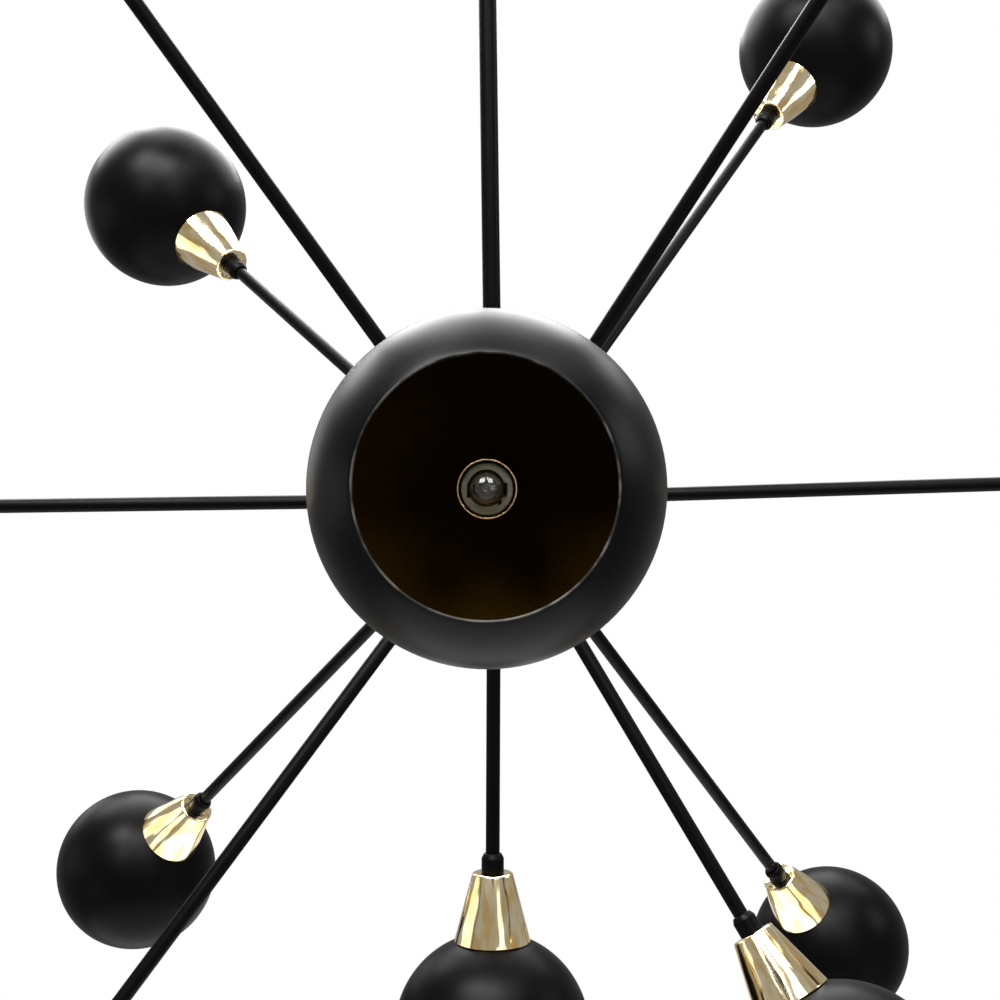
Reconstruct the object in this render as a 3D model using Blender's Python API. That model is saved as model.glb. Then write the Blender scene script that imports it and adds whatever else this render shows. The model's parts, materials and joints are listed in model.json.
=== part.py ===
"""Multi arm chandelier: globe shades on tube arms that radiate from a ball hub under a rigid stem.

Units are metres and +Z is up. The origin is the ceiling face, straight above the hub, and the front
of the chandelier faces -Y. Each light is an arm with a collar, a brass cup, a globe shade and a
capsule bulb, all turned about the arm's own axis.
"""

import math

import bpy
import bmesh
from mathutils import Matrix, Vector

# Driving dimensions of the whole fixture
HUB_DROP = 0.800
HUB_RADIUS = 0.045
ARM_RADIUS = 0.005
STEM_RADIUS = 0.00635
SHADE_RADIUS = 0.070
GAP = 0.0003

# How far a cutter runs to each side of what it cuts
CUTTER_REACH = 0.020

# Where each light points, seen from the hub: degrees round from the front towards the right,
# degrees above the horizon, and the distance from hub centre to globe centre.
LIGHTS = {
    "front": (0.0, 0.5, 0.540),
    "left": (-90.0, 0.0, 0.510),
    "right": (90.0, 1.0, 0.600),
    "bottom": (-90.0, -89.0, 0.380),
    "upper_left_front": (-54.4, 49.3, 0.560),
    "upper_right_front": (50.1, 48.8, 0.560),
    "lower_left_front": (-61.9, -49.1, 0.560),
    "lower_right_front": (63.0, -57.0, 0.459),
    "upper_left_back": (-134.2, 33.2, 0.479),
    "upper_right_back": (139.9, 41.4, 0.624),
    "lower_left_back": (-133.5, -36.0, 0.559),
    "lower_right_back": (137.9, -42.6, 0.606),
}

# Globe shade
SHADE_SHEET = 0.0012
SHADE_MOUTH_RADIUS = 0.0486
SHADE_NECK_RADIUS = 0.0126
SHADE_SIDES = 16
SHADE_RINGS = 6

# Brass cup: heights run back from the globe centre towards the hub
CUP_TOP_RADIUS = 0.0143
CUP_TOP_HEIGHT = 0.114
CUP_BASE_RADIUS = 0.02725
CUP_BASE_HEIGHT = 0.0652
CUP_WALL = 0.0014
CUP_BORE = 0.0055
CUP_SIDES = 10
SLEEVE_RADIUS = 0.012
SLEEVE_WALL = 0.0008
SLEEVE_MOUTH_HEIGHT = 0.005

# Ceramic holder, made in one with the sleeve
HOLDER_FACE_HEIGHT = 0.009
HOLDER_BACK_HEIGHT = 0.038
BULB_RECESS_RADIUS = 0.0074
BULB_RECESS_DEPTH = 0.008
WIRE_BORE = 0.0035

# Arm tube and its collar
ARM_BORE = 0.0033
ARM_START = 0.038
ARM_SIDES = 8
COLLAR_RADIUS = 0.008
COLLAR_LENGTH = 0.0135
COLLAR_SHOULDER = 0.0028
NIPPLE_END_HEIGHT = 0.100

# Capsule bulb
BULB_RADIUS = 0.007
BULB_BASE_RADIUS = 0.0068
BULB_TIP_HEIGHT = -0.026
BULB_SHOULDER_HEIGHT = -0.019
BULB_CROWN_RADIUS = 0.0042
BULB_CROWN_HEIGHT = -0.0245
BULB_SIDES = 8

# Hub ball and cap
HUB_WALL = 0.004
HUB_MOUTH_RADIUS = 0.024
HUB_MOUTH_LIP = 0.0022
HUB_SIDES = 22
HUB_RINGS = 7
CAP_SPIGOT_DEPTH = 0.006
SOCKET_RADIUS = 0.0054
SOCKET_START = 0.034
SOCKET_END = 0.056
CAP_STEPS = 3

# Stem and the hang-straight knuckle at its top
STEM_BORE = 0.0045
STEM_END_DEPTH = 0.010
STEM_SIDES = 16
PIN_DROP = 0.046
PIN_RADIUS = 0.0025
PIN_CHAMFER = 0.0005
FORK_RADIUS = 0.012
FORK_TOP_DROP = 0.0128
FORK_END_DROP = 0.055
FORK_SPIGOT_RADIUS = 0.005
FORK_NOSE_RADIUS = 0.0084
FORK_NOSE_LENGTH = 0.0042
SLOT_WIDTH = 0.009
SLOT_TOP_DROP = 0.034
TONGUE_THICKNESS = 0.0082
TONGUE_WIDTH = 0.016
TONGUE_ROOT = 0.0015
TONGUE_STEPS = 10
EYE_RADIUS = 0.009
EYE_TOP_DROP = 0.062
EYE_END_DROP = 0.082
STEM_TOP_DROP = 0.068

# Ceiling bracket and canopy
STRAP_LENGTH = 0.132
STRAP_WIDTH = 0.026
STRAP_THICKNESS = 0.0025
EAR_DROP = 0.018
EAR_HOLE_DROP = 0.0125
EAR_HOLE_RADIUS = 0.0024
CEILING_SLOT_SPACING = 0.089
CEILING_SLOT_RADIUS = 0.0025
BOSS_RADIUS = 0.010
BOSS_DROP = 0.0125
CANOPY_RADIUS = 0.070
CANOPY_DEPTH = 0.026
CANOPY_SHEET = 0.0015
CANOPY_HOLE_RADIUS = 0.0128
CANOPY_CORNER = 0.00225
CANOPY_SIDES = 28
SCREW_RADIUS = 0.002
SCREW_HEAD_RADIUS = 0.0045
SCREW_HEAD_HEIGHT = 0.004
SCREW_CROWN_RADIUS = 0.00315
SCREW_CROWN_HEIGHT = 0.0032
SCREW_EDGE_HEIGHT = 0.0016


def clear_scene():
    for item in list(bpy.data.objects):
        bpy.data.objects.remove(item, do_unlink=True)


def material(name, colour, roughness, metallic, alpha=1.0):
    made = bpy.data.materials.new(name)
    made.use_nodes = True
    shader = made.node_tree.nodes["Principled BSDF"]
    shader.inputs["Base Color"].default_value = (*colour, 1.0)
    shader.inputs["Roughness"].default_value = roughness
    shader.inputs["Metallic"].default_value = metallic
    shader.inputs["Alpha"].default_value = alpha
    return made


def smooth(mesh, degrees=35.0):
    mesh.shade_smooth()
    mesh.set_sharp_from_angle(angle=math.radians(degrees))


def turned_mesh(name, outline, sides):
    """Spin (radius, height) points about local Z; an outline off the axis is closed into a ring."""
    bm = bmesh.new()
    points = [bm.verts.new((radius, 0.0, height)) for radius, height in outline]
    on_axis = outline[0][0] == 0.0
    ends = points[1:] if on_axis else points[1:] + points[:1]
    lines = [bm.edges.new(pair) for pair in zip(points, ends)]
    bmesh.ops.spin(
        bm, geom=points + lines, cent=(0, 0, 0), axis=(0, 0, 1),
        angle=2.0 * math.pi, steps=sides, use_merge=True,
    )
    bmesh.ops.remove_doubles(bm, verts=bm.verts, dist=1e-6)
    bmesh.ops.dissolve_degenerate(bm, edges=bm.edges, dist=1e-7)
    bmesh.ops.recalc_face_normals(bm, faces=bm.faces)
    mesh = bpy.data.meshes.new(name)
    bm.to_mesh(mesh)
    bm.free()
    smooth(mesh)
    return mesh


def extruded_mesh(name, outline, axis, start, end):
    """Extrude a flat outline, given in the two axes after `axis` in X, Y, Z order, between two planes."""
    bm = bmesh.new()
    u_axis, v_axis = [index for index in range(3) if index != axis]
    corners = []
    for u, v in outline:
        point = [0.0, 0.0, 0.0]
        point[axis] = start
        point[u_axis] = u
        point[v_axis] = v
        corners.append(bm.verts.new(point))
    face = bm.faces.new(corners)
    grown = bmesh.ops.extrude_face_region(bm, geom=[face])
    moved = [item for item in grown["geom"] if isinstance(item, bmesh.types.BMVert)]
    shift = [0.0, 0.0, 0.0]
    shift[axis] = end - start
    bmesh.ops.translate(bm, verts=moved, vec=shift)
    bmesh.ops.recalc_face_normals(bm, faces=bm.faces)
    mesh = bpy.data.meshes.new(name)
    bm.to_mesh(mesh)
    bm.free()
    return mesh


def add_object(name, mesh, finish, parent=None):
    item = bpy.data.objects.new(name, mesh)
    bpy.context.scene.collection.objects.link(item)
    if finish and not mesh.materials:
        mesh.materials.append(finish)
    item.parent = parent
    return item


def add_empty(name, matrix):
    item = bpy.data.objects.new(name, None)
    bpy.context.scene.collection.objects.link(item)
    item.matrix_world = matrix
    return item


def rod_mesh(name, radius, start, end, sides):
    return turned_mesh(name, [(0.0, end), (radius, end), (radius, start), (0.0, start)], sides)


def combine(target, tool, operation):
    """Cut or join `tool` into `target` with a live Boolean; the tool stays out of the build."""
    step = target.modifiers.new(operation.title() + "_" + tool.name, "BOOLEAN")
    step.operation = operation
    step.solver = "EXACT"
    step.object = tool
    tool.hide_render = True
    tool.display_type = "WIRE"


def arc(radius, start, end, steps):
    """Points on a circle round the origin; angles are measured from +Z, in radians."""
    angles = [start + (end - start) * step / steps for step in range(steps + 1)]
    return [(radius * math.sin(angle), radius * math.cos(angle)) for angle in angles]


def direction(azimuth, elevation):
    """Unit vector for degrees round from the front (-Y) to the right (+X), and degrees above level."""
    turn = math.radians(azimuth)
    rise = math.radians(elevation)
    return Vector((
        math.sin(turn) * math.cos(rise),
        -math.cos(turn) * math.cos(rise),
        math.sin(rise),
    ))


def hub_centre():
    return Vector((0.0, 0.0, -HUB_DROP))


def light_frame(azimuth, elevation, reach):
    """Matrix with its origin at the globe centre and +Z pointing out along the arm."""
    outward = direction(azimuth, elevation)
    spin = outward.to_track_quat("Z", "Y").to_matrix().to_4x4()
    return Matrix.Translation(hub_centre() + outward * reach) @ spin


def shade_mesh():
    """Spun globe, open at the front and with a small neck hole at the back."""
    inner = SHADE_RADIUS - SHADE_SHEET
    front = math.asin(SHADE_MOUTH_RADIUS / SHADE_RADIUS)
    back = math.pi - math.asin(SHADE_NECK_RADIUS / SHADE_RADIUS)
    outline = arc(SHADE_RADIUS, front, back, SHADE_RINGS)
    outline += arc(inner, back, front, SHADE_RINGS)
    return turned_mesh("globe_shade", outline, SHADE_SIDES)


def cup_mesh():
    """Brass cone over the globe's neck, with the lampholder sleeve and its ceramic core inside."""
    lip = CUP_BASE_RADIUS - CUP_WALL
    plate = CUP_TOP_HEIGHT - CUP_WALL
    sleeve_bore = SLEEVE_RADIUS - SLEEVE_WALL
    recess_floor = HOLDER_FACE_HEIGHT + BULB_RECESS_DEPTH
    depths = [
        (CUP_BORE, CUP_TOP_HEIGHT),
        (CUP_TOP_RADIUS - CUP_WALL, CUP_TOP_HEIGHT),
        (CUP_TOP_RADIUS, CUP_TOP_HEIGHT - CUP_WALL),
        (CUP_BASE_RADIUS, CUP_BASE_HEIGHT),
        (lip, CUP_BASE_HEIGHT + CUP_WALL / 2.0),
        (CUP_TOP_RADIUS - CUP_WALL + GAP, plate - CUP_WALL),
        (SLEEVE_RADIUS, plate - CUP_WALL),
        (SLEEVE_RADIUS, SLEEVE_MOUTH_HEIGHT),
        (sleeve_bore, SLEEVE_MOUTH_HEIGHT),
        (sleeve_bore, HOLDER_FACE_HEIGHT),
        (BULB_RECESS_RADIUS, HOLDER_FACE_HEIGHT),
        (BULB_RECESS_RADIUS, recess_floor),
        (WIRE_BORE, recess_floor),
        (WIRE_BORE, HOLDER_BACK_HEIGHT),
        (sleeve_bore, HOLDER_BACK_HEIGHT),
        (sleeve_bore, plate),
        (CUP_BORE, plate),
    ]
    return turned_mesh("brass_cup", [(radius, -depth) for radius, depth in depths], CUP_SIDES)


def bulb_mesh():
    """Capsule bulb: a short base that sits in the holder's recess, and a domed glass envelope."""
    base_end = HOLDER_FACE_HEIGHT + BULB_RECESS_DEPTH - GAP
    depths = [
        (0.0, BULB_TIP_HEIGHT),
        (BULB_CROWN_RADIUS, BULB_CROWN_HEIGHT),
        (BULB_RADIUS, BULB_SHOULDER_HEIGHT),
        (BULB_RADIUS, HOLDER_FACE_HEIGHT - 2.0 * GAP),
        (BULB_BASE_RADIUS, HOLDER_FACE_HEIGHT - GAP),
        (BULB_BASE_RADIUS, base_end),
        (0.0, base_end),
    ]
    return turned_mesh("capsule_bulb", [(radius, -depth) for radius, depth in depths], BULB_SIDES)


def arm_mesh(name, reach):
    """Tube arm from inside the hub wall to a threaded nipple, with the collar that carries the cup."""
    collar_end = CUP_TOP_HEIGHT + GAP
    collar_start = collar_end + COLLAR_LENGTH
    tube_start = reach - ARM_START
    depths = [
        (ARM_BORE, tube_start),
        (ARM_RADIUS, tube_start),
        (ARM_RADIUS, collar_start),
        (COLLAR_RADIUS, collar_start - COLLAR_SHOULDER),
        (COLLAR_RADIUS, collar_end),
        (ARM_RADIUS, collar_end),
        (ARM_RADIUS, NIPPLE_END_HEIGHT),
        (ARM_BORE, NIPPLE_END_HEIGHT),
    ]
    return turned_mesh(name, [(radius, -depth) for radius, depth in depths], ARM_SIDES)


def make_lights(black, brass, glass):
    shade = shade_mesh()
    cup = cup_mesh()
    bulb = bulb_mesh()
    for name, (azimuth, elevation, reach) in LIGHTS.items():
        frame = add_empty("light_" + name, light_frame(azimuth, elevation, reach))
        add_object("arm_" + name, arm_mesh("arm_" + name, reach), black, frame)
        add_object("cup_" + name, cup, brass, frame)
        add_object("shade_" + name, shade, black, frame)
        add_object("bulb_" + name, bulb, glass, frame)


def hub_body(black):
    """Hollow ball with a round mouth on top and one hole for each arm."""
    inner = HUB_RADIUS - HUB_WALL
    outer_angle = math.asin(HUB_MOUTH_RADIUS / HUB_RADIUS)
    inner_angle = math.asin((HUB_MOUTH_RADIUS - HUB_MOUTH_LIP) / inner)
    outline = arc(inner, math.pi, inner_angle, HUB_RINGS)
    outline += arc(HUB_RADIUS, outer_angle, math.pi, HUB_RINGS)
    outline[0] = (0.0, -inner)
    outline[-1] = (0.0, -HUB_RADIUS)
    body = add_object("hub_body", turned_mesh("hub_body", outline, HUB_SIDES), black)
    body.location = hub_centre()
    for name, (azimuth, elevation, _) in LIGHTS.items():
        mesh = rod_mesh("hub_hole_" + name, SOCKET_RADIUS, SOCKET_START, SOCKET_END, ARM_SIDES)
        tool = add_object("hub_hole_" + name, mesh, None)
        tool.matrix_world = light_frame(azimuth, elevation, 0.0)
        combine(body, tool, "DIFFERENCE")


def hub_cap(black):
    """Domed lid that carries the stem and drops a short spigot into the hub's mouth."""
    seat = math.sqrt(HUB_RADIUS ** 2 - HUB_MOUTH_RADIUS ** 2) + GAP
    bore = STEM_RADIUS + GAP
    spigot = HUB_MOUTH_RADIUS - HUB_MOUTH_LIP - 2.0 * GAP
    edges = [math.asin(radius / HUB_RADIUS) for radius in (bore, HUB_MOUTH_RADIUS)]
    dome = arc(HUB_RADIUS + GAP, *edges, CAP_STEPS)
    outline = [(bore, seat - CAP_SPIGOT_DEPTH)] + dome
    outline += [(spigot, seat), (spigot, seat - CAP_SPIGOT_DEPTH)]
    cap = add_object("hub_cap", turned_mesh("hub_cap", outline, HUB_SIDES), black)
    cap.location = hub_centre()


def stem(black):
    """Rigid tube from the knuckle's eye down through the hub cap."""
    end = -HUB_DROP + HUB_RADIUS - STEM_END_DEPTH
    outline = [
        (STEM_RADIUS, -STEM_TOP_DROP),
        (STEM_RADIUS, end),
        (STEM_BORE, end),
        (STEM_BORE, -STEM_TOP_DROP),
    ]
    add_object("stem", turned_mesh("stem", outline, STEM_SIDES), black)


def cross_hole(name, drop):
    """Cutter for the knuckle's pin: a rod along X at `drop` under the ceiling."""
    mesh = rod_mesh(name, PIN_RADIUS + GAP, -CUTTER_REACH, CUTTER_REACH, STEM_SIDES)
    tool = add_object(name, mesh, None)
    tool.rotation_euler = (0.0, math.pi / 2.0, 0.0)
    tool.location = (0.0, 0.0, -drop)
    return tool


def swivel_fork(steel):
    """Upper half of the knuckle: a spigot that turns in the bracket's boss, over two cheeks."""
    outline = [
        (0.0, -FORK_END_DROP),
        (FORK_NOSE_RADIUS, -FORK_END_DROP),
        (FORK_RADIUS, -FORK_END_DROP + FORK_NOSE_LENGTH),
        (FORK_RADIUS, -FORK_TOP_DROP),
        (FORK_SPIGOT_RADIUS, -FORK_TOP_DROP),
        (FORK_SPIGOT_RADIUS, -STRAP_THICKNESS - 2.0 * GAP),
        (0.0, -STRAP_THICKNESS - 2.0 * GAP),
    ]
    fork = add_object("swivel_fork", turned_mesh("swivel_fork", outline, STEM_SIDES), steel)
    half = SLOT_WIDTH / 2.0
    foot = FORK_END_DROP + CUTTER_REACH
    slot = [(-half, -SLOT_TOP_DROP), (half, -SLOT_TOP_DROP), (half, -foot), (-half, -foot)]
    mesh = extruded_mesh("fork_slot", slot, 1, -CUTTER_REACH, CUTTER_REACH)
    combine(fork, add_object("fork_slot", mesh, None), "DIFFERENCE")
    combine(fork, cross_hole("fork_pin_hole", PIN_DROP), "DIFFERENCE")


def swivel_pin(steel):
    """Hinge pin of the knuckle, lying along X."""
    length = FORK_RADIUS - GAP * 3.0
    outline = [
        (0.0, length),
        (PIN_RADIUS - PIN_CHAMFER, length),
        (PIN_RADIUS, length - PIN_CHAMFER),
        (PIN_RADIUS, -length + PIN_CHAMFER),
        (PIN_RADIUS - PIN_CHAMFER, -length),
        (0.0, -length),
    ]
    pin = add_object("swivel_pin", turned_mesh("swivel_pin", outline, STEM_SIDES), steel)
    pin.rotation_euler = (0.0, math.pi / 2.0, 0.0)
    pin.location = (0.0, 0.0, -PIN_DROP)


def swivel_eye(steel):
    """Lower half of the knuckle: a round-topped tongue on a socket that takes the stem."""
    bore = STEM_RADIUS + GAP
    outline = [
        (0.0, -EYE_TOP_DROP),
        (EYE_RADIUS, -EYE_TOP_DROP),
        (EYE_RADIUS, -EYE_END_DROP),
        (bore, -EYE_END_DROP),
        (bore, -STEM_TOP_DROP + GAP),
        (0.0, -STEM_TOP_DROP + GAP),
    ]
    mesh = turned_mesh("swivel_eye", outline, STEM_SIDES)
    mesh.transform(Matrix.Translation((0.0, 0.0, PIN_DROP)))
    eye = add_object("swivel_eye", mesh, steel)
    eye.location = (0.0, 0.0, -PIN_DROP)
    half = TONGUE_WIDTH / 2.0
    foot = -EYE_TOP_DROP - TONGUE_ROOT
    tongue = [(-half, foot)]
    tongue += [(-y, z - PIN_DROP) for y, z in arc(half, math.pi / 2.0, -math.pi / 2.0, TONGUE_STEPS)]
    tongue += [(half, foot)]
    flat = TONGUE_THICKNESS / 2.0
    mesh = extruded_mesh("eye_tongue", tongue, 0, -flat, flat)
    combine(eye, add_object("eye_tongue", mesh, None), "UNION")
    combine(eye, cross_hole("eye_pin_hole", PIN_DROP), "DIFFERENCE")


def ceiling_bracket(steel):
    """Steel strap against the ceiling with an ear at each end and a boss for the knuckle."""
    half = STRAP_LENGTH / 2.0
    inner = half - STRAP_THICKNESS
    outline = [
        (-half, 0.0),
        (half, 0.0),
        (half, -EAR_DROP),
        (inner, -EAR_DROP),
        (inner, -STRAP_THICKNESS),
        (-inner, -STRAP_THICKNESS),
        (-inner, -EAR_DROP),
        (-half, -EAR_DROP),
    ]
    width = STRAP_WIDTH / 2.0
    mesh = extruded_mesh("ceiling_bracket", outline, 1, -width, width)
    bracket = add_object("ceiling_bracket", mesh, steel)
    spigot_bore = FORK_SPIGOT_RADIUS + GAP
    top = -STRAP_THICKNESS / 2.0
    boss = [
        (0.0, top),
        (BOSS_RADIUS, top),
        (BOSS_RADIUS, -BOSS_DROP),
        (spigot_bore, -BOSS_DROP),
        (spigot_bore, -STRAP_THICKNESS - GAP),
        (0.0, -STRAP_THICKNESS - GAP),
    ]
    mesh = turned_mesh("bracket_boss", boss, STEM_SIDES)
    combine(bracket, add_object("bracket_boss", mesh, None), "UNION")
    for side in (-1.0, 1.0):
        hole = rod_mesh("ceiling_hole", CEILING_SLOT_RADIUS, -CUTTER_REACH, CUTTER_REACH, STEM_SIDES)
        tool = add_object("ceiling_hole", hole, None)
        tool.location = (side * CEILING_SLOT_SPACING / 2.0, 0.0, 0.0)
        combine(bracket, tool, "DIFFERENCE")
        hole = rod_mesh("ear_hole", EAR_HOLE_RADIUS, -CUTTER_REACH / 2.0, CUTTER_REACH / 2.0, STEM_SIDES)
        ear = add_object("ear_hole", hole, None)
        ear.rotation_euler = (0.0, math.pi / 2.0, 0.0)
        ear.location = (side * half, 0.0, -EAR_HOLE_DROP)
        combine(bracket, ear, "DIFFERENCE")


def canopy(black):
    """Shallow round cover under the ceiling, open at the top, with the knuckle through its floor."""
    floor = -CANOPY_DEPTH
    inner = CANOPY_RADIUS - CANOPY_SHEET
    top = -2.0 * GAP
    outline = [
        (CANOPY_RADIUS, top),
        (CANOPY_RADIUS, floor + CANOPY_CORNER),
        (CANOPY_RADIUS - CANOPY_CORNER, floor),
        (CANOPY_HOLE_RADIUS, floor),
        (CANOPY_HOLE_RADIUS, floor + CANOPY_SHEET),
        (inner - CANOPY_SHEET, floor + CANOPY_SHEET),
        (inner, floor + CANOPY_CORNER + CANOPY_SHEET / 2.0),
        (inner, top),
    ]
    cover = add_object("canopy", turned_mesh("canopy", outline, CANOPY_SIDES), black)
    half = CUTTER_REACH / 2.0
    for side in (-1.0, 1.0):
        mesh = rod_mesh("canopy_screw_hole", EAR_HOLE_RADIUS, -half, half, STEM_SIDES)
        tool = add_object("canopy_screw_hole", mesh, None)
        tool.rotation_euler = (0.0, math.pi / 2.0, 0.0)
        tool.location = (side * CANOPY_RADIUS, 0.0, -EAR_HOLE_DROP)
        combine(cover, tool, "DIFFERENCE")


def canopy_screws(brass):
    """Round-headed screws that hold the canopy to the bracket's ears."""
    shank = CANOPY_RADIUS - STRAP_LENGTH / 2.0 + STRAP_THICKNESS * 2.0
    outline = [
        (0.0, SCREW_HEAD_HEIGHT),
        (SCREW_CROWN_RADIUS, SCREW_CROWN_HEIGHT),
        (SCREW_HEAD_RADIUS, SCREW_EDGE_HEIGHT),
        (SCREW_HEAD_RADIUS, GAP),
        (SCREW_RADIUS, GAP),
        (SCREW_RADIUS, -shank),
        (0.0, -shank),
    ]
    mesh = turned_mesh("canopy_screw", outline, STEM_SIDES)
    for name, side in (("left", -1.0), ("right", 1.0)):
        screw = add_object("canopy_screw_" + name, mesh, brass)
        screw.rotation_euler = (0.0, side * math.pi / 2.0, 0.0)
        screw.location = (side * CANOPY_RADIUS, 0.0, -EAR_HOLE_DROP)


def main():
    clear_scene()
    black = material("black_powder_coat", (0.012, 0.012, 0.013), 0.42, 0.0)
    brass = material("polished_brass", (0.83, 0.62, 0.30), 0.15, 1.0)
    glass = material("bulb_glass", (0.92, 0.94, 0.95), 0.05, 0.0, alpha=0.35)
    steel = material("zinc_steel", (0.55, 0.56, 0.57), 0.35, 1.0)
    make_lights(black, brass, glass)
    hub_body(black)
    hub_cap(black)
    stem(black)
    swivel_fork(black)
    swivel_pin(steel)
    swivel_eye(black)
    ceiling_bracket(steel)
    canopy(black)
    canopy_screws(brass)


main()
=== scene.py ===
import json
import math

import bmesh
import bpy
from mathutils import Matrix, Vector


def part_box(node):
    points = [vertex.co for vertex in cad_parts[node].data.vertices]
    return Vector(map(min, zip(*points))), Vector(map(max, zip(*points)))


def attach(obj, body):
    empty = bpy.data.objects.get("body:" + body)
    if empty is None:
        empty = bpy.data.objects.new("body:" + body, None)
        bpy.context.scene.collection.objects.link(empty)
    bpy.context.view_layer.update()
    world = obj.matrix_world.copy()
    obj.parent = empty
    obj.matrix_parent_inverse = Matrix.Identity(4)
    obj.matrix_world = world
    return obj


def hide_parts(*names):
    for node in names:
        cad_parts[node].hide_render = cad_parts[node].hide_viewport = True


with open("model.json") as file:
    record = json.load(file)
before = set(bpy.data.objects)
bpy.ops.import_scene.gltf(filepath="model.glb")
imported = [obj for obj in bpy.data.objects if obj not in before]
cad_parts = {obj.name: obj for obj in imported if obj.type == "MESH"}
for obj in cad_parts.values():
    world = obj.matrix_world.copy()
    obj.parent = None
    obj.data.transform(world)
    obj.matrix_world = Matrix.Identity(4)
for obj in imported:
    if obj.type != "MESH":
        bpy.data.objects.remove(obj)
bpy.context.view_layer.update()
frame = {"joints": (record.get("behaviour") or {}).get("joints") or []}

# Sizes shared with the CAD part, in metres
HUB_RADIUS = 0.045
HUB_MOUTH_RADIUS = 0.024
HUB_WALL = 0.004
HUB_MOUTH_LIP = 0.0022
CAP_SPIGOT_DEPTH = 0.006
SOCKET_RADIUS = 0.0054
ARM_RADIUS = 0.005
ARM_BORE = 0.0033
ARM_START = 0.038
NIPPLE_END = 0.100
COLLAR_RADIUS = 0.008
COLLAR_LENGTH = 0.0135
STEM_RADIUS = 0.00635
STEM_BORE = 0.0045
GAP = 0.0003

# Globe shade
SHADE_RADIUS = 0.070
SHADE_SHEET = 0.0012
SHADE_MOUTH_RADIUS = 0.0486
SHADE_NECK_RADIUS = 0.0126

# Brass cone and sleeve: heights run back from the globe centre towards the hub
CUP_TOP_RADIUS = 0.0143
CUP_TOP_HEIGHT = 0.114
CUP_BASE_RADIUS = 0.02725
CUP_BASE_HEIGHT = 0.0652
CUP_WALL = 0.0014
CUP_BORE = 0.0055
SLEEVE_RADIUS = 0.012
SLEEVE_WALL = 0.0008
SLEEVE_MOUTH_HEIGHT = 0.005
HOLDER_FACE_HEIGHT = 0.009
HOLDER_BACK_HEIGHT = 0.038

# Ceramic holder: a plateau stands on the round block, round a slot for the lamp's press
CERAMIC_RADIUS = 0.0104
CERAMIC_STEP = 0.0011
PLATEAU_RADIUS = 0.0100
PLATEAU_TOP_RADIUS = 0.0092
PLATEAU_FOOT = -0.0063
PRESS_SLOT_WIDTH = 0.0160
PRESS_SLOT_HEIGHT = 0.0060
PRESS_SLOT_DROP = 0.0004
PRESS_SLOT_DEPTH = 0.0150
SCREW_HOLE_RADIUS = 0.0010
SCREW_HOLE_PLACE = (0.0049, -0.0052)

# Capsule lamp
JACKET_RADIUS = 0.007
JACKET_WALL = 0.0009
JACKET_TIP = 0.026
JACKET_SHOULDER = 0.0205
CAPSULE_RADIUS = 0.0037
CAPSULE_WALL = 0.0008
CAPSULE_TIP = 0.0205
PRESS_WIDTH = 0.0132
PRESS_THICKNESS = 0.0040
PRESS_LENGTH = 0.0080
PIN_SPACING = 0.009
PIN_WIRE = 0.0004
PIN_LENGTH = 0.0055

# Knuckle: heights and drops are from the ceiling
PIN_DROP = 0.046
PIN_RADIUS = 0.0025
FORK_RADIUS = 0.012
FORK_TOP = -0.0128
FORK_END = -0.055
FORK_SPIGOT_RADIUS = 0.005
SLOT_WIDTH = 0.009
SLOT_TOP = -0.034
TONGUE_THICKNESS = 0.0082
TONGUE_WIDTH = 0.016
EYE_RADIUS = 0.009
EYE_TOP = -0.062
EYE_END = -0.082
STEM_TOP = -0.068

# Ceiling strap, canopy and its screws
STRAP_LENGTH = 0.132
STRAP_WIDTH = 0.026
STRAP_THICKNESS = 0.0025
EAR_DROP = 0.018
EAR_HOLE_DROP = 0.0125
EAR_HOLE_RADIUS = 0.0024
CEILING_SLOT_SPACING = 0.089
CEILING_SLOT_RADIUS = 0.0025
BOSS_RADIUS = 0.010
BOSS_DROP = 0.0125
CANOPY_RADIUS = 0.070
CANOPY_DEPTH = 0.026
CANOPY_SHEET = 0.0015
CANOPY_HOLE_RADIUS = 0.0128
SCREW_RADIUS = 0.002
SCREW_HEAD_RADIUS = 0.0045

# Threads: the arm's nipple and the canopy's screws
ARM_THREAD_PITCH = 0.00075
SCREW_THREAD_PITCH = 0.0008

# Smoothness of turned and bent shapes
SIDES = 72
FINE_SIDES = 112
FILLET_STEPS = 5
SHARP_DEGREES = 32.0
FLATTEST_CORNER = 88.0

# Black coat: far less shiny than real paint (0.5), to match the photograph's near-black edges
COAT_SPECULAR = 0.045
LINING_SPECULAR = 0.03
EDGE_SPECULAR = 0.12

# Studio and camera
FLOOR_DROP = 2.90
FLOOR_RADIUS = 2.00
FLOOR_THICKNESS = 0.02
SOFTBOX_SIZE = 0.90
SOFTBOX_DISTANCE = 2.40
SURROUND_STRENGTH = 0.36
WHITE = (1.0, 1.0, 1.0, 1.0)
LENS_MM = 60.0
SENSOR_MM = 36.0
CAMERA_FROM_HUB = (0.0062, -1.189, 0.0010)
CAMERA_PAN, CAMERA_PITCH, CAMERA_ROLL = 0.10, -0.064, 0.76


# ---------------------------------------------------------------- shapes

def arc(radius, start, end, steps):
    """Points (radius, height) on a circle; angles run from the +height axis, in radians."""
    turns = [start + (end - start) * step / steps for step in range(steps + 1)]
    return [(radius * math.sin(t), radius * math.cos(t)) for t in turns]


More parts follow.
